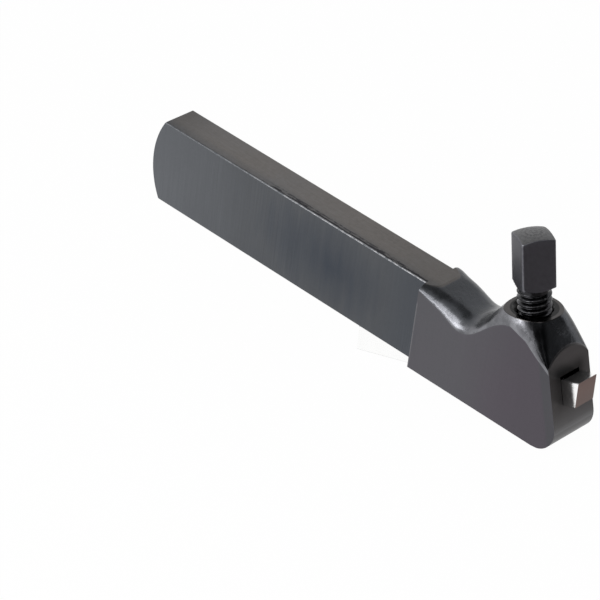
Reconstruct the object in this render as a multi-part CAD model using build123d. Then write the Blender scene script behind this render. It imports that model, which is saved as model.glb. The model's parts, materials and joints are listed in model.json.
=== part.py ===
"""Straight turning tool holder: a forged holder, its square-head clamp screw and a square tool bit.

Millimetres.  X runs forward along the shank with X = 0 at the shoulder where the head starts, Y is
across the shank, and Z = 0 is the shank's ground underside.
"""
import os
from math import cos, radians, sqrt, tan

from build123d import *

# ---- shank -------------------------------------------------------------------------------------
shank_width = 9.525  # 3/8 in bar
shank_height = 22.225  # 7/8 in bar
shank_length = 88.4  # from the shoulder to the crown of the rear end
rear_crown_bulge = 3.0  # how far the rear end is rounded out
rear_crown_height = 9.6  # height of the crown's furthest point
shank_edge_radius = 0.5  # the long edges are lightly broken

# ---- head --------------------------------------------------------------------------------------
head_width = 14.3  # 9/16 in, ground flat on both sides
head_reach = 45.4  # from the shoulder to where the face plane meets the shank's underside
head_drop = 0.4  # the head is left a little deeper than the ground shank
toe_radius = 5.6  # rounding between the head's underside and its face
face_relief_depth = 0.25  # the ground sides ease in towards the face
face_relief_length = 3.2

# ---- top of the head: crest and side-edge heights from the shank's ground top, at each station -----
shoulder_crest = 0.4  # forging scale above the shank that grinding removes
shoulder_edge = -1.6
shoulder_flat = 4.6
ramp_reach = 6.0  # from the shoulder, as every reach here
ramp_crest = -0.5
ramp_edge = -3.6
ramp_flat = 6.0
valley_setback = 14.2  # behind the boss, as every setback here
valley_crest = -2.0
valley_edge = -6.1
valley_flat = 3.4
rise_setback = 10.4
rise_crest = -0.6
rise_edge = -4.2
rise_flat = 1.4
flank_setback = 6.3
flank_crest = 5.7
flank_edge = -0.3
boss_setback = 18.0  # from the face plane's foot back to the middle of the boss and of its screw
boss_crest = 10.3  # the forging before the ring is faced
boss_edge = 3.0
boss_height = 6.3  # middle of the boss's faced ring
boss_tilt = 8.0  # degrees, the ring's lean to the rear
brow_advance = 5.0  # ahead of the boss, as every advance here
brow_crest = 8.6
brow_edge = 1.1
slope_advance = 8.6
slope_crest = 4.0
slope_edge = -0.5
nose_advance = 10.8
nose_crest = 1.2
nose_edge = -1.8
end_advance = 19.0  # beyond the face, which cuts the forging off
end_crest = -11.0
end_edge = -11.4
head_slices = 15  # even steps along the head at which it is shaped
crown_flat = 0.3  # what is left of the flat where a section is fully rounded
cut_margin = 1.0  # cuts run on this far past the surface they start from

# ---- bit and its slot ---------------------------------------------------------------------------
bit_size = 6.35  # 1/4 in square
bit_length = 66.7
bit_projection = 3.4  # beyond the face, along the bit's underside
bit_end_bevel = 15.0  # degrees, both ends parallel
bit_edge_break = 0.15
slot_angle = 17.5  # degrees, rising to the front
slot_exit = 5.9  # from the shoulder to where the slot's floor leaves the underside
slot_side_clearance = 0.1
slot_top_clearance = 0.55

# ---- clamp screw --------------------------------------------------------------------------------
screw_tilt = 12.0  # degrees, leaning back
thread_diameter = 7.9375  # 5/16 in
thread_clearance = 0.06  # radial
bore_mouth_chamfer = 0.7
screw_rise = 5.3  # from the boss's ring to the underside of the head
screw_head_size = 7.9375  # 5/16 in across the flats
screw_head_height = 13.4
screw_head_turn = -31.0  # degrees from X
screw_crown_radius = 14.0
screw_under_rise = 0.85  # the corners are turned away under the head
screw_under_run = 1.7
screw_neck_length = 0.9  # turned down where the thread runs out
screw_neck_diameter = 7.1
screw_point_diameter = 5.2
screw_point_length = 1.6
screw_point_radius = 6.0
screw_seat_clearance = 0.05  # between the point and the bit

# ---- worked out -------------------------------------------------------------------------------
boss_reach = head_reach - boss_setback
valley_reach = boss_reach - valley_setback
head_half = head_width / 2
underside = -head_drop
boss_centre = Vector(boss_reach, 0, shank_height + boss_height)
boss_frame = Plane(origin=boss_centre).rotated((0, -boss_tilt, 0))
screw_frame = Plane(origin=boss_centre).rotated((0, -screw_tilt, 0))
slot_frame = Plane(origin=(slot_exit, 0, 0)).rotated((0, -slot_angle, 0))
face_distance = (head_reach - slot_exit) * cos(radians(slot_angle))
QUARTER = 4 / 3 * (sqrt(2) - 1)  # handle length that makes a cubic curve a quarter ellipse


def shank():
    """The ground bar with its crowned rear end; its front meets the head at the shoulder."""
    rear = rear_crown_bulge - shank_length
    outline = Polyline((rear, 0), (0, 0), (0, shank_height), (rear, shank_height))
    outline += ThreePointArc((rear, shank_height), (-shank_length, rear_crown_height), (rear, 0))
    bar = extrude(Plane.XZ * make_face(outline), shank_width / 2, both=True)
    return fillet(bar.edges().filter_by(Axis.X), shank_edge_radius)


def head_section(reach, crest, edge, flat):
    """A slice across the head: straight sides up to edge, then quarter ellipses up to crest."""
    top = shank_height + crest
    side = shank_height + edge
    corner = head_half - flat / 2
    rise = top - side
    walls = Polyline((-head_half, side), (-head_half, underside), (head_half, underside), (head_half, side))
    left = Bezier((-head_half, side), (-head_half, side + QUARTER * rise),
                  (-flat / 2 - QUARTER * corner, top), (-flat / 2, top))
    right = Bezier((head_half, side), (head_half, side + QUARTER * rise),
                   (flat / 2 + QUARTER * corner, top), (flat / 2, top))
    crown = Line((-flat / 2, top), (flat / 2, top))
    return Plane.YZ.offset(reach) * make_face(walls + left + crown + right)


def smooth_curve(reaches, heights):
    """A function of reach that passes smoothly through the heights and never bulges beyond them."""
    spans = [(heights[i + 1] - heights[i]) / (reaches[i + 1] - reaches[i]) for i in range(len(reaches) - 1)]
    slopes = [spans[0]] + [
        2 * a * b / (a + b) if a * b > 0 else 0 for a, b in zip(spans, spans[1:])] + [spans[-1]]

    def height_at(reach):
        i = max(k for k in range(len(spans)) if reaches[k] <= reach)
        length = reaches[i + 1] - reaches[i]
        t = (reach - reaches[i]) / length
        return (heights[i] * (1 + 2 * t) * (1 - t) ** 2 + heights[i + 1] * (3 - 2 * t) * t ** 2
                + length * (slopes[i] * t * (1 - t) ** 2 - slopes[i + 1] * t ** 2 * (1 - t)))

    return height_at


def head_forging():
    """The forged head: down from the shoulder to a valley, up over the boss and down the nose."""
    rise_reach = boss_reach - rise_setback
    flank_reach = boss_reach - flank_setback
    end_reach = boss_reach + end_advance
    reaches = [0, ramp_reach, valley_reach, rise_reach, flank_reach, boss_reach, boss_reach + brow_advance,
               boss_reach + slope_advance, boss_reach + nose_advance, end_reach]
    crest = smooth_curve(reaches, [
        shoulder_crest, ramp_crest, valley_crest, rise_crest, flank_crest, boss_crest, brow_crest,
        slope_crest, nose_crest, end_crest])
    edge = smooth_curve(reaches, [
        shoulder_edge, ramp_edge, valley_edge, rise_edge, flank_edge, boss_edge, brow_edge,
        slope_edge, nose_edge, end_edge])
    flat = smooth_curve(
        [0, ramp_reach, valley_reach, rise_reach, flank_reach, end_reach],
        [shoulder_flat, ramp_flat, valley_flat, rise_flat, crown_flat, crown_flat])
    places = [end_reach * i / head_slices for i in range(head_slices + 1)]
    return loft([head_section(x, crest(x), edge(x), flat(x)) for x in places])


def head_outline():
    """The head seen from the side, with its face square to the slot and its rounded toe."""
    crown = shank_height + boss_crest
    corner = (head_reach - underside * tan(radians(slot_angle)), underside)
    top = (head_reach - crown * tan(radians(slot_angle)), crown)
    side = make_face(Polyline((0, underside), corner, top, (0, crown), close=True))
    toe = side.vertices().sort_by_distance(Vector(corner[0], corner[1], 0))[0]
    return extrude(Plane.XZ * fillet(toe, toe_radius), head_width, both=True)


def face_reliefs():
    """Shallow wedges off both ground sides, which ease in towards the face."""
    start = face_distance - face_relief_length
    end = face_distance + face_relief_length
    wedge = Polyline((start, head_half), (end, head_half - 2 * face_relief_depth), (end, head_width),
                     (start, head_width), close=True)
    near = extrude(slot_frame * make_face(wedge), head_reach, both=True)
    return near + mirror(near, Plane.XZ)


def bit_slot():
    """The square hole for the bit, open at the face and along the underside."""
    width = bit_size + 2 * slot_side_clearance
    height = bit_size + slot_top_clearance
    return slot_frame * Box(2 * head_reach, width, height, align=(Align.CENTER, Align.CENTER, Align.MIN))


def screw_bore():
    """The clamp screw's hole, from the boss's ring down into the slot."""
    radius = thread_diameter / 2 + thread_clearance
    depth = bore_depth() + radius * tan(radians(slot_angle - screw_tilt))
    from_bottom = (Align.CENTER, Align.CENTER, Align.MIN)
    bore = Pos(0, 0, -depth) * Cylinder(radius, depth + cut_margin, align=from_bottom)
    flare = bore_mouth_chamfer + cut_margin
    mouth = Pos(0, 0, -bore_mouth_chamfer) * Cone(radius, radius + flare, flare, align=from_bottom)
    return screw_frame * (bore + mouth)


def depth_to_plane_above_floor(height):
    """Distance down the screw's axis from the ring to a plane this high above the slot's floor."""
    over = (boss_centre - slot_frame.origin).dot(slot_frame.z_dir) - height
    return over / screw_frame.z_dir.dot(slot_frame.z_dir)


def bore_depth():
    return depth_to_plane_above_floor(bit_size + slot_top_clearance)


def holder_body():
    """Shank and head in one forging, ground, faced, slotted and bored."""
    head = head_forging() & head_outline()
    head = split(head, bisect_by=boss_frame, keep=Keep.BOTTOM)
    behind_valley = (Align.MAX, Align.CENTER, Align.MIN)
    grind = Box(2 * valley_reach, 2 * head_width, boss_height, align=behind_valley)
    grind = Pos(valley_reach, 0, shank_height) * grind
    head = head - grind - face_reliefs()
    return head + shank() - bit_slot() - screw_bore()


def screw_head():
    """The square head, with a crowned top and its corners turned away underneath."""
    square = Rot(0, 0, screw_head_turn) * Box(
        screw_head_size, screw_head_size, screw_head_height, align=(Align.CENTER, Align.CENTER, Align.MIN))
    corner = screw_head_size / sqrt(2)
    crown_edge = (corner, screw_head_height - crown_drop(corner))
    crown_middle = (corner / 2, screw_head_height - crown_drop(corner / 2))
    outline = Polyline(
        (0, screw_head_height), (0, 0), (corner - screw_under_run, 0), (corner, screw_under_rise), crown_edge)
    outline += ThreePointArc(crown_edge, crown_middle, (0, screw_head_height))
    return Pos(0, 0, screw_rise) * (square & revolve(Plane.XZ * make_face(outline), Axis.Z))


def screw_stem():
    """The threaded stem at its full diameter, with a neck under the head and a rounded point."""
    thread_radius = thread_diameter / 2
    neck_radius = screw_neck_diameter / 2
    point_radius = screw_point_diameter / 2
    tip = -depth_to_point()
    shoulder = tip + screw_point_length
    neck = screw_rise - screw_neck_length
    outline = Polyline(
        (point_radius, tip + ball_drop(point_radius)), (point_radius, shoulder),
        (thread_radius, shoulder + thread_radius - point_radius), (thread_radius, neck), (neck_radius, neck),
        (neck_radius, screw_rise + screw_under_rise), (0, screw_rise + screw_under_rise), (0, tip))
    outline += ThreePointArc(
        (0, tip), (point_radius / 2, tip + ball_drop(point_radius / 2)),
        (point_radius, tip + ball_drop(point_radius)))
    return revolve(Plane.XZ * make_face(outline), Axis.Z)


def clamp_screw():
    """Square head and stem in one, leaning with the bore."""
    return screw_frame * (screw_head() + screw_stem())


def crown_drop(radius):
    """How far the head's crown falls from its middle to this radius."""
    return screw_crown_radius - sqrt(screw_crown_radius ** 2 - radius ** 2)


def ball_drop(radius):
    """How far the point's ball falls back from its tip at this radius."""
    return screw_point_radius - sqrt(screw_point_radius ** 2 - radius ** 2)


def depth_to_point():
    """Distance down the axis to the tip, whose ball stops just short of the bit."""
    ball = depth_to_plane_above_floor(bit_size + screw_seat_clearance + screw_point_radius)
    return ball + screw_point_radius


def tool_bit():
    """Square bit with both ends ground to the same bevel."""
    tip = face_distance + bit_projection
    tail = tip - bit_length
    lean = bit_size * tan(radians(bit_end_bevel))
    outline = make_face(Polyline(
        (tail, 0), (tip, 0), (tip + lean, bit_size), (tail + lean, bit_size), close=True))
    bar = extrude(Plane.XZ * outline, bit_size / 2, both=True)
    bar = chamfer(bar.edges().filter_by(Axis.X), bit_edge_break)
    return slot_frame * bar


def main():
    os.makedirs("parts", exist_ok=True)
    export_step(holder_body(), "parts/holder_body.step")
    export_step(clamp_screw(), "parts/clamp_screw.step")
    export_step(tool_bit(), "parts/tool_bit.step")


main()
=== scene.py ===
"""Straight turning tool holder: a forged and blackened holder, its square-head screw and a bright bit.

Laid out as an add-on: each piece has its sizes and colours in a property group and one operator that
makes it.  Everything is in metres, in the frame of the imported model: X runs forward along the shank,
Z is up from the shank's ground underside and Y is across it.
"""

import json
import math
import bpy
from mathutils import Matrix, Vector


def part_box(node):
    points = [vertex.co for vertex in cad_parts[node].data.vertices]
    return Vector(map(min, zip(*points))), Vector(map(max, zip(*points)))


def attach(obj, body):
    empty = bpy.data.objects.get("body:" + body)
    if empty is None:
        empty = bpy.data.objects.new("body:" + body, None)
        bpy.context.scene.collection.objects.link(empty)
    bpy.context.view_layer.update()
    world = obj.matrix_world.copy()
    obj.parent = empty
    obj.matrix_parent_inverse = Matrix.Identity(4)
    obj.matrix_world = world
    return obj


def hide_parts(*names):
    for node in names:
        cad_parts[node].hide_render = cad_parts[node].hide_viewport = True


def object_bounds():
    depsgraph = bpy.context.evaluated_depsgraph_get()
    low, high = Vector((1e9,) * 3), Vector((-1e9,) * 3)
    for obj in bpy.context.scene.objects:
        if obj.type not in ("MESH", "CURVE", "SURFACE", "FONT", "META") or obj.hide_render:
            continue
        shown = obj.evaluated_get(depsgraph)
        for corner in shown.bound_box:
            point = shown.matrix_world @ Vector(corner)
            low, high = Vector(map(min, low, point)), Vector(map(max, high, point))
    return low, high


bl_info = {
    "name": "Turning Tool Holder",
    "version": (1, 0, 0),
    "blender": (4, 5, 0),
    "location": "View3D > Sidebar > Tool Holder",
    "description": "Makes a straight turning tool holder with its clamp screw and tool bit",
    "category": "Object",
}

import bmesh
import bpy
from mathutils import Matrix, Vector

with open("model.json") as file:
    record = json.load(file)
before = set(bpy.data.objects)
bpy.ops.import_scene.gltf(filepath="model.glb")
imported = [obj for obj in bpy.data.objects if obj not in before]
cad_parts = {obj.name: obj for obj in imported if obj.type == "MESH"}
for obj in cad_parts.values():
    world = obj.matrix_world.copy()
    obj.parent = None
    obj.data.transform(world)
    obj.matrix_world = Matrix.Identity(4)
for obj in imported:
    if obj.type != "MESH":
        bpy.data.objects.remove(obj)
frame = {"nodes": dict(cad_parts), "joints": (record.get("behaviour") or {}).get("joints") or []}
cad_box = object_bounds()

MM = 0.001

# Ground planes of the holder and the size of its openings, in millimetres of the frame.
SHANK_TOP = 22.225
SHANK_HALF = 4.7625
HEAD_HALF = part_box("holder_body")[1].y / MM
SLOT_HALF = 3.275
SLOT_HEIGHT = 6.9
# How far round the screw the bore's mouth is painted dark as shade.
SHADED_MOUTH_RADIUS = 5.55

CENTRE = (cad_box[0] + cad_box[1]) / 2


def joint_named(name):
    return next(joint for joint in frame["joints"] if joint["name"] == name)


def reach(node, direction, furthest=max):
    """How far a CAD node's points lie along a direction, in metres."""
    return furthest(point.co.dot(direction) for point in frame["nodes"][node].data.vertices)


# Axes of the screw, of the slot and of the boss's faced ring, which leans to the rear.
SCREW_SEAT = Vector(joint_named("clamp_screw_turn")["pos_m"])
SCREW_AXIS = Vector(joint_named("clamp_screw_turn")["axis"]).normalized()
SLIDE_AXIS = Vector(joint_named("bit_slide")["axis"]).normalized()
SLOT_UP = Vector((-SLIDE_AXIS.z, 0, SLIDE_AXIS.x))
RING_LEAN = math.radians(8.0)
RING_AXIS = Vector((-math.sin(RING_LEAN), 0, math.cos(RING_LEAN)))

FACE_REACH = reach("holder_body", SLIDE_AXIS)
BIT_LOW = reach("tool_bit", SLOT_UP, min)


def upright_on(axis, origin):
    """The matrix that stands a piece's Z along an axis in the XZ plane, with its Y across the shank."""
    across = Vector((0, 1, 0))
    forward = across.cross(axis)
    matrix = Matrix((forward, across, axis)).transposed().to_4x4()
    return Matrix.Translation(origin) @ matrix


SCREW_MATRIX = upright_on(SCREW_AXIS, SCREW_SEAT)


# ---- node trees -------------------------------------------------------------------------------------
class Wire:
    """An output socket of a node tree. Arithmetic between wires and numbers adds Math nodes."""

    def __init__(self, graph, socket):
        self.graph = graph
        self.socket = socket

    def maths(self, operation, *values, clamp=False):
        return self.graph.node("ShaderNodeMath", {"operation": operation, "use_clamp": clamp}, values)

    def __add__(self, other):
        return self.maths("ADD", self, other)

    def __sub__(self, other):
        return self.maths("SUBTRACT", self, other)

    def __rsub__(self, other):
        return self.maths("SUBTRACT", other, self)

    def __mul__(self, other):
        return self.maths("MULTIPLY", self, other)

    def __truediv__(self, other):
        return self.maths("DIVIDE", self, other)

    def __rtruediv__(self, other):
        return self.maths("DIVIDE", other, self)

    def __pow__(self, other):
        return self.maths("POWER", self, other)

    def __rpow__(self, other):
        return self.maths("POWER", other, self)

    def __abs__(self):
        return self.maths("ABSOLUTE", self)

    __radd__ = __add__
    __rmul__ = __mul__

    def wave(self):
        return self.maths("SINE", self)

    def fraction(self):
        return self.maths("FRACT", self)

    def smallest(self, other):
        return self.maths("MINIMUM", self, other)

    def largest(self, other):
        return self.maths("MAXIMUM", self, other)

    def held(self):
        """Clamped to between 0 and 1."""
        return self.maths("ADD", self, 0.0, clamp=True)

    def above(self, other):
        """1 where it is above the other, and 0 elsewhere."""
        return self.maths("GREATER_THAN", self, other)

    def rise(self, low, high):
        """0 below low and 1 above high, with a smooth step between; falls where low is above high."""
        ends = (1.0, 0.0) if low > high else (0.0, 1.0)
        values = {0: self, 1: min(low, high), 2: max(low, high), 3: ends[0], 4: ends[1]}
        return self.graph.node("ShaderNodeMapRange", {"interpolation_type": "SMOOTHSTEP"}, values)

    def between(self, low, high, blur):
        """1 from low to high, with a smooth step of this width inside each end."""
        return self.rise(low, low + blur) * self.rise(high, high - blur)

    def near(self, width):
        """1 at zero, fading to 0 at this width either way."""
        return abs(self).rise(width, 0.4 * width)


class Graph:
    """A node tree being written, for a material or for geometry."""

    def __init__(self, tree):
        self.tree = tree

    def node(self, kind, settings=None, values=(), output=0):
        """Adds a node: its settings first, then the values or wires of its sockets; gives one output."""
        made = self.tree.nodes.new(kind)
        for name, value in (settings or {}).items():
            setattr(made, name, value)
        pairs = values.items() if isinstance(values, dict) else enumerate(values)
        for key, value in pairs:
            if isinstance(value, Wire):
                self.tree.links.new(value.socket, made.inputs[key])
            else:
                made.inputs[key].default_value = value
        return Wire(self, made.outputs[output])

    def split(self, vector):
        """The three parts of a vector."""
        first = self.node("ShaderNodeSeparateXYZ", values=[vector])
        return [Wire(self, socket) for socket in first.socket.node.outputs]

    def mix(self, share, under, over):
        """A colour that goes from under to over."""
        settings = {"data_type": "RGBA"}
        return self.node("ShaderNodeMix", settings, {0: share, 6: under, 7: over}, output=2)

    def vectors(self, operation, *values, output="Vector"):
        return self.node("ShaderNodeVectorMath", {"operation": operation}, values, output)

    def scaled(self, vector, factors):
        return self.vectors("MULTIPLY", vector, factors)

    def joined(self, *parts):
        """A vector of three parts."""
        return self.node("ShaderNodeCombineXYZ", values=parts)

    def noise(self, vector, scale, detail=2.0, roughness=0.5):
        """Noise of this many features to the millimetre, from 0 to 1."""
        values = {"Vector": vector, "Scale": scale, "Detail": detail, "Roughness": roughness}
        return self.node("ShaderNodeTexNoise", values=values)


class MaterialGraph(Graph):
    """The node tree of a new material, with a Principled shader at its end."""

    def __init__(self, name):
        self.material = bpy.data.materials.new(name)
        self.material.use_nodes = True
        super().__init__(self.material.node_tree)
        self.shader = self.tree.nodes["Principled BSDF"]

    def end_with(self, shader):
        """Shows another shader in place of the Principled one."""
        self.tree.links.new(shader.socket, self.tree.nodes["Material Output"].inputs["Surface"])
        return self.material


class MetalGraph(MaterialGraph):
    """A metal's material, with places in millimetres."""

    def __init__(self, name):
        super().__init__(name)
        self.shader.inputs["Metallic"].default_value = 1.0
        place = self.node("ShaderNodeTexCoord", output="Object")
        self.place = self.scaled(place, (1 / MM, 1 / MM, 1 / MM))
        self.facing = self.node("ShaderNodeTexCoord", output="Normal")

    def along(self, direction, origin=(0, 0, 0)):
        """How far a place lies along a direction from an origin, in millimetres."""
        apart = self.vectors("SUBTRACT", self.place, origin)
        return self.vectors("DOT_PRODUCT", apart, direction, output="Value")

    def turned(self, direction):
        """How much the surface faces along a direction, from -1 to 1."""
        return self.vectors("DOT_PRODUCT", self.facing, direction, output="Value")

    def radius(self, axis, origin):
        """Distance of a place from a line through the origin along the axis, in millimetres."""
        across = self.vectors("CROSS_PRODUCT", self.vectors("SUBTRACT", self.place, origin), axis)
        return self.vectors("LENGTH", across, output="Value")

    def drawn_noise(self, stretch, scale, detail, roughness):
        """Noise with its places stretched along the axes."""
        return self.noise(self.scaled(self.place, stretch), scale, detail, roughness)

    def shaded(self, colour, shade):
        """A colour made lighter or darker by a factor."""
        return self.node("ShaderNodeVectorMath", {"operation": "SCALE"}, {0: colour, "Scale": shade})

    def finish(self, colour, roughness, height, depth):
        """Wires colour, roughness and a bump of this depth in millimetres to the shader."""
        relief = {"Strength": 1.0, "Distance": depth * MM, "Height": height}
        normal = self.node("ShaderNodeBump", values=relief)
        for name, wire in (("Base Color", colour), ("Roughness", roughness), ("Normal", normal)):
            self.tree.links.new(wire.socket, self.shader.inputs[name])
        return self.material


def colour_property(name, description, default):
    return bpy.props.FloatVectorProperty(
        name=name, description=description, default=default, size=3, subtype="COLOR", min=0.0, max=1.0)


def length_property(name, description, default):
    return bpy.props.FloatProperty(
        name=name, description=description, default=default, min=0.0, subtype="DISTANCE", unit="LENGTH")


def opaque(colour):
    return (*colour, 1.0)


# ---- holder -----------------------------------------------------------------------------------------
class HolderSettings(bpy.types.PropertyGroup):
    side_colour: colour_property("Ground Sides", "Blackened sides of the shank", (0.098, 0.103, 0.112))
    head_colour: colour_property("Head Sides", "Ground sides of the head, warmer", (0.112, 0.110, 0.121))
    tint_colour: colour_property("Head Tint", "Purple tinge towards the front", (0.094, 0.082, 0.098))
    blued_colour: colour_property("Blued Patch", "Where the sides turned bluer", (0.052, 0.062, 0.080))
    top_colour: colour_property("Ground Top", "Browned top of the shank", (0.140, 0.130, 0.124))
    skin_colour: colour_property("Forged Skin", "Scoop and nose, as forged", (0.058, 0.061, 0.067))
    # Rubbed skin, partly a painted highlight: light painted where the scoop, the boss and the nose turn
    # aside.
    rubbed_highlight_colour: colour_property("Rubbed Skin", "Skin where it turns to the sides", (0.222, 0.223, 0.240))
    ring_colour: colour_property("Boss Ring", "Faced ring round the screw", (0.062, 0.058, 0.057))
    face_colour: colour_property("Face", "Ground face round the bit", (0.108, 0.106, 0.108))
    relief_colour: colour_property("Side Reliefs", "Where the sides ease in", (0.088, 0.087, 0.096))
    # Worn edges, also a painted highlight along the shank's upper edges and in a line at the shoulder.
    edge_colour: colour_property("Worn Edges", "Steel showing through at the edges", (0.30, 0.30, 0.31))
    stain_colour: colour_property("Stain", "Dark stain along the top's near edge", (0.022, 0.022, 0.026))
    # Painted shade: near-black painted inside the slot and the bore, and round the bore's mouth on the
    # ring.
    hole_shade_colour: colour_property("Openings", "Inside the slot and the bore", (0.006, 0.006, 0.006))


class ForgingGraph(MetalGraph):
    """The holder's finish: ground planes, forged skin between them and steel worn bare at the edges, which
    are also a painted highlight, with painted light and shade on the skin, on the face and in the openings.

    Each kind of surface has a mask from 0 to 1. Places are in millimetres: the shank's rear end is at
    x -88, the shoulder at x 0, the boss at x 13 to 27 and the ground face from x 33.
    """

    def __init__(self, settings):
        super().__init__("blackened_forging")
        self.settings = settings
        self.x, self.y, self.z = self.split(self.place)
        self.nx, self.ny, self.nz = self.split(self.facing)
        self.in_head = self.x.rise(-0.3, 0.1)
        self.by_face = self.x.rise(33.0, 35.0)
        self.easing_in = self.x.rise(30.0, 33.0)
        self.mask_ground_planes()
        self.mask_shaded_openings()
        self.draw_noise()

    def mask_ground_planes(self):
        x, y, z = self.x, self.y, self.z
        half = SHANK_HALF + self.in_head * (HEAD_HALF - SHANK_HALF)
        eased = 0.05 + self.easing_in * 0.25
        side = abs(self.ny).rise(0.93, 0.985) * (half - abs(y) - eased).rise(0.04, 0.0)
        nose_line = (25.83 - 0.30 * (x - 27.05)).smallest(24.07 - 0.669 * (x - 32.1))
        self.side = side * (1 - (z - nose_line).rise(0.0, 0.25) * x.rise(25.6, 26.6))
        self.top = (z - SHANK_TOP).near(0.16) * x.rise(9.0, 6.0) * self.nz.rise(0.9, 0.98)
        self.near_edge = (y + SHANK_HALF).rise(3.4, 0.4)  # the third of the top along its near edge
        self.ring = self.along(RING_AXIS, SCREW_SEAT / MM).near(0.2) * z.rise(25.0, 26.0)
        self.face = (self.along(SLIDE_AXIS) - FACE_REACH / MM).near(0.25) * self.by_face
        self.under = self.nz.rise(-0.9, -0.98)
        self.relief = self.side * (HEAD_HALF - abs(y)).rise(0.02, 0.09) * self.easing_in
        ground = self.side.largest(self.top).largest(self.ring).largest(self.face).largest(self.under)
        rest = (1 - ground).held()
        self.toe = rest * z.rise(11.0, 9.0) * self.by_face
        self.skin = rest * self.in_head * (1 - self.toe)

    def mask_shaded_openings(self):
        self.above_slot = self.along(SLOT_UP) - BIT_LOW / MM
        # Painted shade: the slot's walls, and the bore with its mouth, are painted near-black.
        in_slot = self.above_slot.between(-0.5, SLOT_HEIGHT + 0.4, 0.2)
        self.slot = abs(self.y).rise(SLOT_HALF + 0.105, SLOT_HALF + 0.045) * in_slot * self.by_face
        in_mouth = self.radius(SCREW_AXIS, SCREW_SEAT / MM).rise(SHADED_MOUTH_RADIUS + 0.05, SHADED_MOUTH_RADIUS - 0.05)
        self.mouth_shade = in_mouth * self.z.rise(18.0, 20.0)

    def draw_noise(self):
        self.cloud = self.drawn_noise((1.0, 1.0, 0.6), 0.055, 3.0, 0.5)
        self.blotch = self.noise(self.place, 0.35, 3.0, 0.6)
        self.mottle = self.noise(self.place, 1.1, 4.0, 0.6)
        self.streaks = self.drawn_noise((0.9, 1.0, 0.12), 0.5, 4.0, 0.6)
        self.speckle = self.drawn_noise((0.5, 1.0, 1.0), 1.3, 3.0, 0.7)
        self.ragged = self.drawn_noise((0.3, 1.6, 1.0), 1.1, 4.0, 0.7)
        # Fine lines that a grinding wheel left: across the sides and along the top.
        self.upright_lines = self.drawn_noise((2.4, 1.0, 0.05), 1.0, 3.0, 0.65) - 0.5
        self.long_lines = self.drawn_noise((0.10, 3.0, 9.0), 1.0, 3.0, 0.65) - 0.5

    def blued(self):
        """Share of the blue on the sides: a patch ahead of the middle, and a little behind the shoulder."""
        from_patch = (((self.x + 27.0) * 0.042) ** 2 + ((self.z - 11.0) * 0.085) ** 2) ** 0.5
        patch = (1.02 - from_patch + (self.cloud - 0.5) * 1.2 + (self.streaks - 0.5) * 0.9).held()
        before_shoulder = self.x.rise(-16.0, -3.0) * (1 - self.in_head) * 0.35
        return self.side * (patch * 0.85).largest(before_shoulder)

    def rubbed_and_highlight(self):
        """Share of the forged skin's bright rubbing and painted highlight, where the scoop, the boss and
        the nose turn aside.
        """
        x, aside = self.x, abs(self.ny)
        on_nose = x.rise(20.0, 26.0)
        boss = x.rise(13.0, 18.0) * x.rise(27.0, 24.0) * self.z.rise(12.0, 18.0)
        scoop_edge = aside.rise(0.48, 0.87) * (0.32 + 0.28 * x.rise(3.0, 11.0))
        nose_edge = on_nose * aside.rise(0.2, 0.55) * self.nx.rise(0.30, 0.14) * (
            0.36 + 0.64 * self.nx.rise(0.10, -0.02))
        uneven = (0.85 + (self.blotch - 0.5) * (1.2 - on_nose * 0.8)).held()
        return self.skin * (scoop_edge + nose_edge + boss * 0.55 * (1 - on_nose)).held() * uneven

    def worn(self):
        """Share of bare steel and of painted highlight: along the shank's upper edges and down the
        shoulder, and a painted light line on the side behind the shoulder.
        """
        x, nx, aside = self.x, abs(self.nx), abs(self.ny)
        long_edge = self.nz.rise(0.2, 0.6) * aside.rise(0.2, 0.6) * (1 - self.in_head)
        long_edge = long_edge * self.speckle.rise(0.36, 0.62) * (0.25 + 0.75 * x.rise(-70.0, -30.0))
        shoulder = nx.rise(0.2, 0.5) * aside.rise(0.2, 0.5) * x.near(0.8)
        shoulder = shoulder * (abs(self.y) - SHANK_HALF).rise(1.0, 1.8)
        # Painted highlight: a light line on the side just behind the shoulder, in place of an edge
        # highlight there.
        line = self.side * x.rise(-0.05, 0.0) * x.rise(0.36, 0.24) * self.z.rise(18.5, 17.0)
        return long_edge.largest((shoulder + line * self.speckle.rise(0.2, 0.5)) * 0.30)

    def stain(self):
        """Share of the dark stain along the top's near edge, and of the tide line beside it."""
        x, from_edge = self.x, self.y + SHANK_HALF
        width = x.rise(-66.0, -38.0) + (self.ragged - 0.5) * 4.2
        stain = self.top * (width - from_edge).rise(-0.1, 0.35) * (1 - self.in_head)
        tide_line = (from_edge - 0.7 - self.ragged * 1.3).near(0.30)
        tide_line = tide_line * x.rise(-54.0, -46.0) * x.rise(-8.0, -16.0)
        return stain.largest(self.top * tide_line * self.speckle.rise(0.38, 0.5) * 0.75)

    def colour(self):
        settings = self.settings
        tint = (self.x.rise(10.0, 36.0) * 0.8 + (self.cloud - 0.5) * 1.2).held() * self.side * self.in_head
        uneven = (self.cloud - 0.42) * 1.6 + (self.mottle - 0.5) * 0.8
        cooled = (uneven + self.near_edge * 0.7 + self.x.rise(-66.0, -86.0) * 0.5).held() * self.top * 0.6
        colour = opaque(settings.side_colour)
        for share, over in (
                (self.in_head, settings.head_colour),
                (tint, settings.tint_colour),
                (self.blued(), settings.blued_colour),
                (self.top, settings.top_colour),
                (cooled, settings.side_colour),
                (self.skin, settings.skin_colour),
                (self.rubbed_and_highlight(), settings.rubbed_highlight_colour),
                (self.ring, settings.ring_colour),
                (self.face.largest(self.toe), settings.face_colour),
                (self.relief, settings.relief_colour),
                (self.worn(), settings.edge_colour),
                (self.stain(), settings.stain_colour),
                (self.mouth_shade.largest(self.slot * (1 - self.face)), settings.hole_shade_colour)):
            colour = self.mix(share, colour, opaque(over))
        return self.shaded(colour, self.shade())

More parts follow.
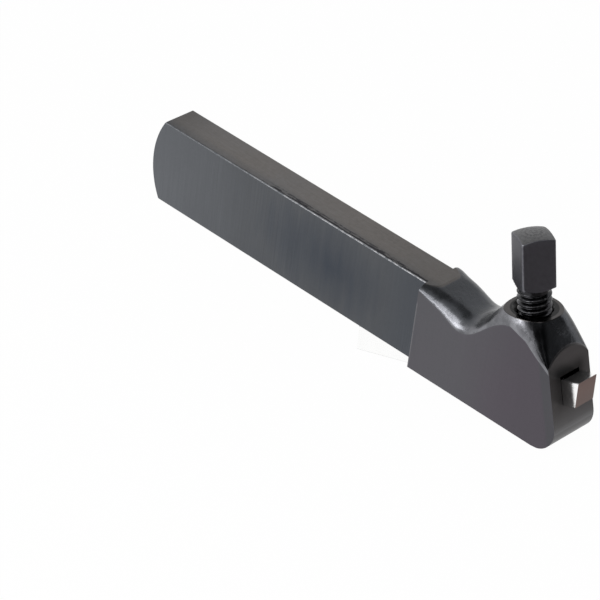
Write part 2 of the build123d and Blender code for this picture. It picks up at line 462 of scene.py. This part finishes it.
    def shade(self):
        """Light and dark in the colour, as a factor: random tone and grinding lines, the sides lighter
        towards the rear, and painted light and shade on the rear end, the face round the slot, the nose and
        the scoop.
        """
        x, y, nx, top, face, skin = self.x, self.y, self.nx, self.top, self.face, self.skin
        shade = 0.86 + 0.10 * self.mottle + 0.26 * (self.cloud - 0.5) + skin * (self.blotch - 0.5) * 0.6
        line_depth = (self.cloud.rise(0.35, 0.65) * 0.30 + 0.10) * (1 - self.in_head * 0.75)
        shade = shade + self.side * self.upright_lines * line_depth
        shade = shade + top * (
            0.05 - self.near_edge * 0.10 + self.long_lines * 0.3 + (self.mottle - 0.5) * 0.4)

        # The sides lighter towards the rear; painted light on the rear end's faces where they turn
        # rearwards.
        rear_side = self.side * x.rise(-45.0, -88.0) * 0.42
        rear_end_painted_light = nx.rise(-0.3, -0.8) * x.rise(-80.0, -84.0) * 1.05
        shade = shade * (1 + rear_side + rear_end_painted_light)
        shade = shade * (1 - top * (x.rise(-74.0, -88.0) * 0.22 + x.rise(-30.0, 4.0) * 0.16))

        # Painted shade on the face: darker round the slot, and darkest beside the bit.
        above = self.above_slot
        painted_shade_beside_bit = (abs(y) - 3.2).rise(3.2, 0.0) * above.rise(10.5, 7.2) * above.rise(-2.5, 1.5)
        painted_shade_beside_bit = painted_shade_beside_bit * (0.42 + 0.25 * above.rise(4.5, 7.0))
        painted_shade_round_slot = above.rise(11.0, 5.0) * above.rise(-6.0, 3.0) * 0.12
        shade = shade * (1 + face * (0.08 - painted_shade_round_slot - painted_shade_beside_bit))

        # Painted light and shade on the forged skin: the nose darker where it turns from side to front,
        # lighter on its side patch and in its middle, and the scoop lighter low down.
        nose_front_painted_shade = x.rise(26.0, 29.0) * nx.rise(0.08, 0.24) * abs(self.ny).rise(0.25, 0.5) * 0.80
        nose_side_painted_light = nx.rise(0.10, -0.02) * x.rise(26.2, 26.9) * 0.40
        nose_middle_painted_light = x.rise(28.0, 31.0) * nx.rise(0.4, 0.65) * 0.6
        scoop_low_painted_light = x.rise(5.0, 9.0) * x.rise(15.0, 12.0) * 0.25
        shade = shade * (1 - skin * nose_front_painted_shade) * (1 + skin * nose_side_painted_light)
        return shade * (1 + skin * (nose_middle_painted_light + scoop_low_painted_light))

    def roughness(self):
        nose = self.x.rise(26.0, 29.0) * 0.05
        roughness = 0.40 + 0.08 * (self.mottle - 0.5) + self.side * self.upright_lines * 0.12
        roughness = roughness + self.skin * ((self.blotch - 0.5) * 0.3 - 0.12 - nose)
        return roughness - self.ring * 0.20 - self.face * 0.08

    def height(self):
        """Height of the surface's fine relief, which the finish's depth scales."""
        height = self.side * self.upright_lines * 0.35 + (self.top + self.under) * self.long_lines * 0.3
        forged = (self.mottle - 0.5) * 0.3 + (self.blotch - 0.5) * 2.4
        return height + self.skin * forged + self.ring * (self.mottle - 0.5) * 0.2


def blackened_forging(settings):
    graph = ForgingGraph(settings)
    return graph.finish(graph.colour(), graph.roughness(), graph.height(), 0.035)


# Edges that turn by more than this are drawn sharp: on forged skin, round a ground plane, and where the
# sides ease in towards the face.
SKIN_BEND = math.radians(26.0)
PLANE_BEND = math.radians(8.0)
RELIEF_BEND = math.radians(3.5)
RELIEF_START = 30 * MM
IN_PLANE = 0.99995
MERGE_DISTANCE = 0.002 * MM


def merged_copy(name, node):
    """A new object with the mesh of a CAD node, its loose triangles joined."""
    mesh = frame["nodes"][node].data.copy()
    mesh.name = name
    mesh.materials.clear()
    made = bmesh.new()
    made.from_mesh(mesh)
    bmesh.ops.remove_doubles(made, verts=made.verts, dist=MERGE_DISTANCE)
    made.to_mesh(mesh)
    made.free()
    copy = bpy.data.objects.new(name, mesh)
    bpy.context.scene.collection.objects.link(copy)
    return copy


def bend_limit(edge):
    """The turn above which this edge of the holder is sharp."""
    normals = [face.normal for face in edge.link_faces]
    if any(abs(normal.y) > IN_PLANE for normal in normals) and edge.verts[0].co.x > RELIEF_START:
        return RELIEF_BEND
    planes = (RING_AXIS, SLIDE_AXIS, Vector((0, 0, 1)))
    if any(normal.dot(plane) > IN_PLANE for normal in normals for plane in planes):
        return PLANE_BEND
    return SKIN_BEND


def mark_sharp_edges(mesh):
    """Smooth shading, split at the forging's corners and round each ground plane."""
    made = bmesh.new()
    made.from_mesh(mesh)
    for face in made.faces:
        face.smooth = True
    for edge in made.edges:
        edge.smooth = edge.calc_face_angle(0.0) < bend_limit(edge)
    made.to_mesh(mesh)
    made.free()


def bake_modifiers(piece):
    """Turns the piece's evaluated shape into its plain mesh."""
    evaluated = piece.evaluated_get(bpy.context.evaluated_depsgraph_get())
    mesh = bpy.data.meshes.new_from_object(evaluated)
    piece.modifiers.clear()
    piece.data = mesh
    return piece


class TOOLHOLDER_OT_holder(bpy.types.Operator):
    """Make the forged holder, smooth between its real corners, with its blackened finish"""

    bl_idname = "toolholder.holder"
    bl_label = "Holder"

    def execute(self, context):
        settings = context.scene.toolholder_holder
        piece = merged_copy("holder_forging", "holder_body")
        mark_sharp_edges(piece.data)
        even = piece.modifiers.new("even_normals", "WEIGHTED_NORMAL")
        even.mode = "FACE_AREA"
        even.weight = 100
        even.keep_sharp = True
        bake_modifiers(piece)
        piece.data.materials.clear()
        piece.data.materials.append(blackened_forging(settings))
        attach(piece, "holder")
        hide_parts("holder_body")
        return {"FINISHED"}


# ---- clamp screw ------------------------------------------------------------------------------------
class ScrewSettings(bpy.types.PropertyGroup):
    pitch: length_property("Thread Pitch", "Rise of the thread in one turn", 1.411 * MM)
    thread_depth: length_property("Thread Depth", "From crest to root", 0.80 * MM)
    thread_diameter: length_property("Thread Diameter", "Over the crests", 7.9375 * MM)
    neck_diameter: length_property("Neck Diameter", "Turned down under the head", 7.0 * MM)
    neck_length: length_property("Neck Length", "Of the plain neck under the head", 0.9 * MM)
    point_diameter: length_property("Point Diameter", "Of the plain end below the thread", 5.2 * MM)
    point_length: length_property("Point Length", "Of the plain end below the thread", 1.6 * MM)
    head_rise: length_property("Head Rise", "From the boss's ring to the underside of the head", 5.3 * MM)
    head_size: length_property("Head Size", "Across the flats", 7.9375 * MM)
    corner_radius: length_property("Corner Radius", "Of the head's upright edges", 0.50 * MM)
    crown_radius: length_property("Crown Radius", "Of the rounded top", 14.0 * MM)
    rim_radius: length_property("Rim Radius", "Rounding of the crown's rim", 0.25 * MM)
    under_rise: length_property("Corner Relief Height", "How far up the corners are turned away", 0.85 * MM)
    under_run: length_property("Corner Relief Depth", "How far in the corners are turned away", 1.7 * MM)
    colour: colour_property("Screw", "Blackened screw head", (0.121, 0.121, 0.138))
    stem_colour: colour_property("Thread", "Blackened stem, dark with oil", (0.034, 0.034, 0.037))
    crown_colour: colour_property("Crown", "Grained top of the head", (0.125, 0.125, 0.128))
    # Worn head corners and thread crests, also lighter as a painted highlight.
    corner_wear_highlight_colour: colour_property("Head Corners", "Where the head's corners are worn", (0.17, 0.17, 0.18))
    crest_wear_highlight_colour: colour_property("Thread Crests", "Where the crests are worn", (0.22, 0.22, 0.23))


HEAD_TURN = math.radians(-31.0)  # of the square head, from the shank's line
RELIEF_STEPS, SIDE_STEPS, RIM_STEPS, CROWN_STEPS = 8, 12, 4, 14  # of the head's mesh, from below
STEM_SIDES, STEM_STEPS = 72, 300
CREST_FLAT = 0.14  # of the pitch, at the thread's crest and at its root
POINT_ROUNDING = 0.35  # of the point's radius, both up and inwards


def blackened_screw(settings):
    """The screw's finish: smooth dark flats, a grained crown and a thread with bare steel on its crests;
    the worn crests and head corners are also painted as a highlight.
    """
    graph = MetalGraph("blackened_screw")
    seat = SCREW_SEAT / MM
    height_up = graph.along(SCREW_AXIS, seat)
    radius = graph.radius(SCREW_AXIS, seat)
    facing_up = graph.turned(SCREW_AXIS)
    crown = facing_up.rise(0.75, 0.9) * height_up.rise(10.0, 12.0)
    on_stem = height_up.rise(5.35, 5.2)
    crest = radius.rise(3.55, 3.92) * on_stem
    head = SCREW_MATRIX.to_3x3() @ Matrix.Rotation(HEAD_TURN, 3, "Z")
    squarely = abs(graph.turned(head.col[0])).largest(abs(graph.turned(head.col[1])))
    corner = squarely.rise(0.97, 0.88)
    corner = corner * (1 - crown) * (1 - on_stem) * facing_up.rise(-0.6, -0.2)

    mottle = graph.noise(graph.place, 1.1, 4.0, 0.6)
    swirl = graph.noise(graph.place, 2.2, 3.0, 0.7)
    bent = graph.vectors("ADD", graph.place, graph.joined(swirl, swirl * -0.7, swirl * 0.4))
    rings = ((radius + swirl * 2.2) * 6.0).wave() * radius.rise(4.2, 1.5)
    curl = graph.noise(bent, 1.7, 5.0, 0.7) + rings * 0.22 - 0.5

    colour = opaque(settings.colour)
    for share, over in (
            (crown, settings.crown_colour),
            (on_stem, settings.stem_colour),
            (corner * mottle.rise(0.35, 0.6) * 0.5, settings.corner_wear_highlight_colour),
            (crest * mottle.rise(0.45, 0.65) * 0.35, settings.crest_wear_highlight_colour)):
        colour = graph.mix(share, colour, opaque(over))
    colour = graph.shaded(colour, 0.86 + 0.28 * mottle + crown * curl * 1.1)
    roughness = 0.36 + 0.10 * crown - 0.16 * on_stem + 0.12 * (mottle - 0.5)
    height = (mottle - 0.5) * 0.3 * (1 - on_stem) + crown * curl * 2.2
    return graph.finish(colour, roughness, height, 0.03)


def rounded_square(half, radius, per_corner=6, per_side=8):
    """Points round a square with rounded corners, anticlockwise, as (x, y)."""
    points = []
    for quarter in range(4):
        start = quarter * math.pi / 2
        turn = Matrix.Rotation(start, 2)
        middle = Vector((half - radius, half - radius))
        for step in range(per_corner + 1):
            angle = step / per_corner * math.pi / 2
            points.append(turn @ (middle + radius * Vector((math.cos(angle), math.sin(angle)))))
        first = turn @ Vector((half - radius, half))
        last = turn @ Vector((radius - half, half))
        for step in range(1, per_side):
            points.append(first.lerp(last, step / per_side))
    return points


def head_mesh(settings, top):
    """The square head, with a crowned top and its corners turned away underneath."""
    outline = rounded_square(settings.head_size / 2, settings.corner_radius)
    widest = max(point.length for point in outline)
    bottom = settings.head_rise
    relief_top = bottom + settings.under_rise
    soft = settings.rim_radius

    def crown_at(radius):
        ball = settings.crown_radius
        return top - ball + math.sqrt(ball ** 2 - radius ** 2)

    def limit_at(height):
        share = min(1.0, (height - bottom) / settings.under_rise)
        return widest - settings.under_run * (1 - share)

    def ring_at(inset, height_of):
        ring = []
        for point in outline:
            height = height_of(point.length - inset)
            radius = min(point.length - inset, limit_at(height))
            ring.append((*(point.normalized() * radius), height))
        return ring

    rings = [[(x / 2, y / 2, z) for x, y, z in ring_at(0, lambda r: bottom)]]
    for share in shares(RELIEF_STEPS, first=0):
        rings.append(ring_at(0, lambda r: bottom + settings.under_rise * share))
    for share in shares(SIDE_STEPS):
        rings.append(ring_at(0, lambda r: relief_top + share * (crown_at(r) - soft - relief_top)))
    for share in shares(RIM_STEPS):
        angle = share * math.pi / 2
        inset, drop = soft * (1 - math.cos(angle)), soft * (1 - math.sin(angle))
        rings.append(ring_at(inset, lambda r: crown_at(r) - drop))
    for share in shares(CROWN_STEPS, last=CROWN_STEPS - 1):
        inner = [point.normalized() * (point.length - soft) * (1 - share) for point in outline]
        rings.append([(*point, crown_at(point.length)) for point in inner])
    return mesh_over(rings, (0, 0, bottom), (0, 0, crown_at(0)))


def shares(steps, first=1, last=None):
    """Even shares of the way, as fractions of this many steps."""
    return [step / steps for step in range(first, (last or steps) + 1)]


def mesh_over(rings, first, last):
    """A closed mesh over rings of equal length, with a point at each end."""
    count = len(rings[0])
    points = [first, *(point for ring in rings for point in ring), last]
    top = 1 + (len(rings) - 1) * count
    faces = []
    for side in range(count):
        after = (side + 1) % count
        faces.append((0, 1 + after, 1 + side))
        for base in range(1, top, count):
            faces.append((base + side, base + after, base + count + after, base + count + side))
        faces.append((top + side, top + after, len(points) - 1))
    mesh = bpy.data.meshes.new("screw_head")
    mesh.from_pydata(points, [], faces)
    mesh.transform(Matrix.Rotation(HEAD_TURN, 4, "Z"))
    mesh.polygons.foreach_set("use_smooth", [True] * len(mesh.polygons))
    return mesh


def groove_depth(graph, angle, height, pitch):
    """How deep the thread's groove is at a place on the stem, from 0 at the crest to 1 at the root."""
    turn = (height / pitch - angle / (2 * math.pi)).fraction()
    return ((abs(turn * 2 - 1) - CREST_FLAT) / (1 - 2 * CREST_FLAT)).held()


def stem_radius(graph, given, angle, height):
    """The stem's radius at a height: the round-nosed point, the thread that runs out, and the neck."""
    pitch, depth = given["Pitch"], given["Thread Depth"]
    root = given["Thread Radius"] - depth
    started = ((height - given["Thread Start"]) / pitch).held()
    threaded = root + (depth - depth * groove_depth(graph, angle, height, pitch)) * started
    below_neck = given["Neck Start"].above(height)
    stem = given["Neck Radius"] + (threaded - given["Neck Radius"]) * below_neck
    lift = (height - given["Bottom"]) / (given["Point Radius"] * POINT_ROUNDING)
    point = given["Point Radius"] * (1 - (1 - lift).largest(0.0) ** 2 * POINT_ROUNDING)
    return stem + (point - stem) * given["Thread Start"].above(height)


def thread_tree():
    """Geometry nodes that turn a cylinder into the stem: neck, helical thread and plain point."""
    tree = bpy.data.node_groups.new("screw_stem", "GeometryNodeTree")
    for name in ("Bottom", "Top", "Thread Radius", "Neck Radius", "Point Radius", "Pitch", "Thread Depth",
                 "Neck Start", "Thread Start"):
        tree.interface.new_socket(name=name, in_out="INPUT", socket_type="NodeSocketFloat")
    tree.interface.new_socket(name="Material", in_out="INPUT", socket_type="NodeSocketMaterial")
    tree.interface.new_socket(name="Geometry", in_out="OUTPUT", socket_type="NodeSocketGeometry")
    graph = Graph(tree)
    source = tree.nodes.new("NodeGroupInput")
    given = {socket.name: Wire(graph, socket) for socket in source.outputs if socket.name}
    blank = graph.node(
        "GeometryNodeMeshCylinder", {"fill_type": "TRIANGLE_FAN"},
        {"Vertices": STEM_SIDES, "Side Segments": STEM_STEPS, "Fill Segments": 4, "Radius": 1.0,
         "Depth": given["Top"] - given["Bottom"]})
    x, y, z = graph.split(graph.node("GeometryNodeInputPosition"))
    height = z + (given["Top"] + given["Bottom"]) * 0.5
    radius = stem_radius(graph, given, y.maths("ARCTAN2", y, x), height)
    place = graph.joined(x * radius, y * radius, height)
    shaped = graph.node("GeometryNodeSetPosition", values={"Geometry": blank, "Position": place})
    shaded = graph.node("GeometryNodeSetShadeSmooth", values={"Geometry": shaped, "Shade Smooth": True})
    real = graph.node("GeometryNodeRealizeInstances", values=[shaded])
    dressed = graph.node(
        "GeometryNodeSetMaterial", values={"Geometry": real, "Material": given["Material"]})
    sink = tree.nodes.new("NodeGroupOutput")
    tree.links.new(dressed.socket, sink.inputs["Geometry"])
    return tree


def set_inputs(modifier, values):
    """Sets a geometry modifier's inputs by the identifiers of the named sockets."""
    for item in modifier.node_group.interface.items_tree:
        if item.in_out == "INPUT" and item.name in values:
            modifier[item.identifier] = values[item.name]


def screw_stem(settings, bottom, material):
    """An object of the threaded stem, upright on the screw's seat."""
    stem = bpy.data.objects.new("screw_stem", bpy.data.meshes.new("screw_stem"))
    bpy.context.scene.collection.objects.link(stem)
    modifier = stem.modifiers.new("thread", "NODES")
    modifier.node_group = thread_tree()
    set_inputs(modifier, {
        "Bottom": bottom,
        "Top": settings.head_rise + settings.under_rise,
        "Thread Radius": settings.thread_diameter / 2,
        "Neck Radius": settings.neck_diameter / 2,
        "Point Radius": settings.point_diameter / 2,
        "Pitch": settings.pitch,
        "Thread Depth": settings.thread_depth,
        "Neck Start": settings.head_rise - settings.neck_length,
        "Thread Start": bottom + settings.point_length,
        "Material": material,
    })
    return bake_modifiers(stem)


class TOOLHOLDER_OT_screw(bpy.types.Operator):
    """Make the square-head clamp screw with its cut thread"""

    bl_idname = "toolholder.screw"
    bl_label = "Clamp Screw"

    def execute(self, context):
        settings = context.scene.toolholder_screw
        material = blackened_screw(settings)
        seat = SCREW_SEAT.dot(SCREW_AXIS)
        bottom = reach("clamp_screw", SCREW_AXIS, min) - seat
        top = reach("clamp_screw", SCREW_AXIS) - seat
        piece = screw_stem(settings, bottom, material)
        piece.name = "threaded_clamp_screw"
        joined = bmesh.new()
        joined.from_mesh(piece.data)
        joined.from_mesh(head_mesh(settings, top))
        joined.transform(SCREW_MATRIX)
        joined.to_mesh(piece.data)
        joined.free()
        piece.data.materials.clear()
        piece.data.materials.append(material)
        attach(piece, "screw")
        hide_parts("clamp_screw")
        return {"FINISHED"}


# ---- tool bit ---------------------------------------------------------------------------------------
class BitSettings(bpy.types.PropertyGroup):
    colour: colour_property("Ground Steel", "Bright ground tool steel", (1.0, 1.0, 0.995))
    edge_colour: colour_property("Broken Edges", "Edges broken on a fine stone", (0.36, 0.36, 0.36))
    end_colour: colour_property("Cut End", "End face, browned by the cutting wheel", (0.220, 0.156, 0.140))


def ground_tool_steel(settings):
    """Bright steel with fine lines from the grinding wheel along its length and across its ends."""
    graph = MetalGraph("ground_tool_steel")
    y = graph.split(graph.place)[1]
    along = graph.along(SLIDE_AXIS)
    height = graph.along(SLOT_UP)
    end = abs(graph.turned(SLIDE_AXIS)).rise(0.7, 0.9)
    flats = abs(graph.turned((0, 1, 0))).largest(abs(graph.turned(SLOT_UP)))
    broken_edge = flats.rise(0.93, 0.80) * (1 - end)
    lines = graph.noise(graph.joined(along * 0.06, y * 7.0, height * 7.0), 1.0, 3.0, 0.6) - 0.5
    end_lines = graph.noise(graph.joined(along * 5.0, y * 0.4, height * 7.0), 1.0, 3.0, 0.6) - 0.5
    cloud = graph.noise(graph.place, 0.25)
    colour = graph.mix(end, opaque(settings.colour), opaque(settings.end_colour))
    colour = graph.mix(broken_edge * 0.8, colour, opaque(settings.edge_colour))
    # Painted shade: the end face darker towards its bottom.
    end_painted_shade = 1 - end * (height - BIT_LOW / MM).rise(5.5, 0.0) * 0.40
    colour = graph.shaded(colour, (0.97 + 0.03 * cloud) * end_painted_shade)
    roughness = 0.13 + 0.06 * lines + end * 0.16
    return graph.finish(colour, roughness, lines * (1 - end) + end_lines * end, 0.008)


class TOOLHOLDER_OT_bit(bpy.types.Operator):
    """Give the square tool bit its bright ground finish"""

    bl_idname = "toolholder.bit"
    bl_label = "Tool Bit"

    def execute(self, context):
        mesh = frame["nodes"]["tool_bit"].data
        mesh.materials.clear()
        mesh.materials.append(ground_tool_steel(context.scene.toolholder_bit))
        return {"FINISHED"}


# ---- stage ------------------------------------------------------------------------------------------
class StageSettings(bpy.types.PropertyGroup):
    lens: bpy.props.FloatProperty(
        name="Lens", description="Focal length of the camera", default=193.98, min=1.0, unit="CAMERA")
    backdrop_light: bpy.props.FloatProperty(
        name="Backdrop Light", description="Share of their brightness that the surroundings give as light",
        default=0.55, min=0.0, max=1.0)
    floor_size: length_property("Floor Size", "Side of the square floor", 6.0)
    floor_colour: colour_property("Floor", "White paper", (0.9, 0.9, 0.9))


# The camera's place and its own axes.
CAMERA_PLACE = Vector((0.370745, -0.491368, 0.430060))
CAMERA_RIGHT = Vector((0.715208, 0.691119, 0.104079))
CAMERA_UP = Vector((-0.455473, 0.347945, 0.819438))
CAMERA_BACK = Vector((0.530115, -0.633474, 0.563639))

# The holder rests on the low end of the bit and on the toe of its head.
TAIL_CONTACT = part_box("tool_bit")[0]
TOE_CONTACT = Vector((37 * MM, 0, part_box("holder_body")[0].z))
FLOOR_SLOPE = TOE_CONTACT - TAIL_CONTACT
FLOOR_UP = Vector((-FLOOR_SLOPE.z, 0, FLOOR_SLOPE.x)).normalized()
FLOOR_PLACE = Vector((TAIL_CONTACT.x, 0, TAIL_CONTACT.z)) - FLOOR_UP * 0.1 * MM


def facing_middle(direction, distance):
    """The matrix of a thing that faces the object's middle, in a direction and at a distance from it."""
    place = CENTRE + Vector(direction).normalized() * distance
    return Matrix.Translation(place) @ (place - CENTRE).to_track_quat("Z", "Y").to_matrix().to_4x4()


def on_floor(forward, across):
    """The matrix of a card that lies just over the floor."""
    return upright_on(FLOOR_UP, upright_on(FLOOR_UP, FLOOR_PLACE) @ Vector((forward, across, 2 * MM)))


WHITE = (1.0, 1.0, 1.0)
WARM = (1.0, 0.93, 0.92)

# Cards that only the metal mirrors: name, place, width, height, brightness and colour.
CARDS = (
    ("dark_card_right", facing_middle((0.81, 0.24, 0.53), 0.7), 1.22, 0.62, 0.105, WHITE),
    ("low_card_front", on_floor(0.1225, 0.3), 0.095, 0.6, 0.42, WARM),
    ("low_card_far", on_floor(0.41, 0.3), 0.48, 0.6, 0.165, WARM),
    ("low_card_near", on_floor(0.3625, -0.25), 0.575, 0.5, 0.22, WARM),
    ("grey_card_above", facing_middle((-0.15, 0.20, 0.97), 0.7), 0.7, 0.5, 0.30, WHITE),
    ("dark_card_nose", facing_middle((0.212, -0.36, 0.2545), 0.49), 0.33, 0.30, 0.12, WHITE),
)
SHADING_CARD = "dark_card_nose"  # it also keeps the softboxes' light off the nose

# Soft lights: name, place, width, height and brightness.
SOFTBOXES = (
    ("key", facing_middle((0.12, -0.72, 0.62), 0.6), 0.46, 0.24, 4.2),
    ("side", facing_middle((-0.04, -0.95, 0.22), 0.6), 0.40, 0.20, 3.2),
    ("low_left", facing_middle((-0.40, -0.86, 0.32), 0.6), 0.30, 0.18, 4.4),
)


def glowing(name, colour, strength):
    """A plain material that glows by itself."""
    graph = MaterialGraph(name)
    graph.tree.nodes.remove(graph.shader)
    glow = graph.node("ShaderNodeEmission", values={"Color": opaque(colour), "Strength": strength})
    return graph.end_with(glow)


def seen_rays(graph):
    """1 for the rays that show the surroundings: the camera's, and those that metal mirrors."""
    path = graph.node("ShaderNodeLightPath").socket.node
    names = ("Is Camera Ray", "Is Glossy Ray", "Is Transmission Ray")
    camera, mirrored, passed = (Wire(graph, path.outputs[name]) for name in names)
    return (camera + mirrored + passed).held()


def floor_material(settings):
    """White paper that reads as pure white where it is seen, and still takes a faint shadow."""
    graph = MaterialGraph("floor_paper")
    graph.shader.inputs["Base Color"].default_value = opaque(settings.floor_colour)
    graph.shader.inputs["Roughness"].default_value = 0.9
    glow = graph.node("ShaderNodeEmission", values={"Color": opaque(WHITE), "Strength": 1.0})
    shaders = [seen_rays(graph) * 0.98, Wire(graph, graph.shader.outputs[0]), glow]
    return graph.end_with(graph.node("ShaderNodeMixShader", values=shaders))


def add_plane(name, matrix, width, height, material):
    """A rectangle of the stage."""
    mesh = bpy.data.meshes.new(name)
    w, h = width / 2, height / 2
    mesh.from_pydata([(-w, -h, 0), (w, -h, 0), (w, h, 0), (-w, h, 0)], [], [(0, 1, 2, 3)])
    mesh.materials.append(material)
    plane = bpy.data.objects.new(name, mesh)
    plane.matrix_world = matrix
    bpy.context.scene.collection.objects.link(plane)
    return plane


def add_camera(settings):
    data = bpy.data.cameras.new("camera")
    data.lens = settings.lens
    data.sensor_width = 36.0
    data.clip_start = 0.01
    camera = bpy.data.objects.new("camera", data)
    turn = Matrix((CAMERA_RIGHT, CAMERA_UP, CAMERA_BACK)).transposed().to_4x4()
    camera.matrix_world = Matrix.Translation(CAMERA_PLACE) @ turn
    bpy.context.scene.collection.objects.link(camera)
    bpy.context.scene.camera = camera


def add_world(light):
    """White surroundings that give less light than they show."""
    world = bpy.data.worlds.new("studio")
    world.use_nodes = True
    bpy.context.scene.world = world
    graph = Graph(world.node_tree)
    strength = light + seen_rays(graph) * (1 - light)
    backdrop = world.node_tree.nodes["Background"]
    backdrop.inputs["Color"].default_value = opaque(WHITE)
    world.node_tree.links.new(strength.socket, backdrop.inputs["Strength"])


def add_card(name, matrix, width, height, brightness, colour):
    card = add_plane(name, matrix, width, height, glowing(name, colour, brightness))
    card.visible_camera = False
    card.visible_shadow = name == SHADING_CARD
    card.visible_diffuse = False


def add_softbox(name, matrix, width, height, brightness):
    data = bpy.data.lights.new(name, "AREA")
    data.shape = "RECTANGLE"
    data.size, data.size_y = width, height
    data.energy = brightness * math.pi * width * height
    lamp = bpy.data.objects.new(name, data)
    lamp.matrix_world = matrix
    bpy.context.scene.collection.objects.link(lamp)
    lamp.visible_camera = False


class TOOLHOLDER_OT_stage(bpy.types.Operator):
    """Set up the white floor, the cards, the soft studio light and the camera"""

    bl_idname = "toolholder.stage"
    bl_label = "Stage"

    def execute(self, context):
        settings = context.scene.toolholder_stage
        add_camera(settings)
        side = settings.floor_size
        add_plane("floor", upright_on(FLOOR_UP, FLOOR_PLACE), side, side, floor_material(settings))
        add_world(settings.backdrop_light)
        for card in CARDS:
            add_card(*card)
        for softbox in SOFTBOXES:
            add_softbox(*softbox)
        context.scene.view_settings.view_transform = "Standard"
        return {"FINISHED"}


# ---- panel and registration -------------------------------------------------------------------------
class TOOLHOLDER_PT_panel(bpy.types.Panel):
    """The tool holder's pieces, each with its sizes and colours"""

    bl_idname = "TOOLHOLDER_PT_panel"
    bl_label = "Tool Holder"
    bl_space_type = "VIEW_3D"
    bl_region_type = "UI"
    bl_category = "Tool Holder"

    def draw(self, context):
        for operator, group in STEPS:
            box = self.layout.box()
            box.operator(operator.bl_idname)
            settings = getattr(context.scene, group)
            for name in settings.__annotations__:
                box.prop(settings, name)


STEPS = (
    (TOOLHOLDER_OT_stage, "toolholder_stage"),
    (TOOLHOLDER_OT_holder, "toolholder_holder"),
    (TOOLHOLDER_OT_screw, "toolholder_screw"),
    (TOOLHOLDER_OT_bit, "toolholder_bit"),
)
GROUPS = {
    "toolholder_stage": StageSettings,
    "toolholder_holder": HolderSettings,
    "toolholder_screw": ScrewSettings,
    "toolholder_bit": BitSettings,
}
CLASSES = (*GROUPS.values(), *(operator for operator, _ in STEPS), TOOLHOLDER_PT_panel)


def register():
    for cls in CLASSES:
        bpy.utils.register_class(cls)
    for name, group in GROUPS.items():
        setattr(bpy.types.Scene, name, bpy.props.PointerProperty(type=group))


def unregister():
    for name in GROUPS:
        delattr(bpy.types.Scene, name)
    for cls in reversed(CLASSES):
        bpy.utils.unregister_class(cls)


def main():
    register()
    bpy.ops.toolholder.stage()
    bpy.ops.toolholder.holder()
    bpy.ops.toolholder.screw()
    bpy.ops.toolholder.bit()


if __name__ == "__main__":
    main()
